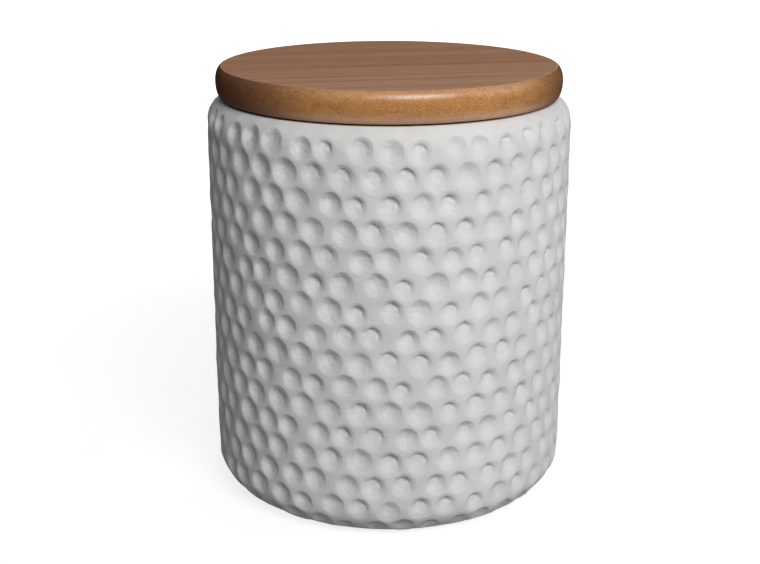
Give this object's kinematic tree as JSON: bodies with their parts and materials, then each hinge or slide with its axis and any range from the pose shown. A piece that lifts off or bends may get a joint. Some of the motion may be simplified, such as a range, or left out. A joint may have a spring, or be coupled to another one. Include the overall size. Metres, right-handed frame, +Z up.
{
  "type": "storage canister",
  "caption": "Round ceramic storage jar with a hammered wall of pressed hollows and a push-in wooden lid on a soft seal ring.",
  "frame": {"origin": "centre of the plane that the jar stands on", "axes": "+Z up along the jar's axis; -Y is the side that faces the viewer"},
  "size_m": [0.11, 0.11, 0.1316],
  "materials": {
    "ceramic": "matte",
    "wood": "satin",
    "silicone": "matte"
  },
  "bodies": {
    "jar": {"jar": "ceramic"},
    "lid": {"lid": "wood", "seal_ring": "silicone"}
  },
  "joints": [
    {"name": "lid_lift", "type": "slide", "parent": "jar", "child": "lid", "axis": [0, 0, 1], "range_m": [0, 0.06]}
  ]
}
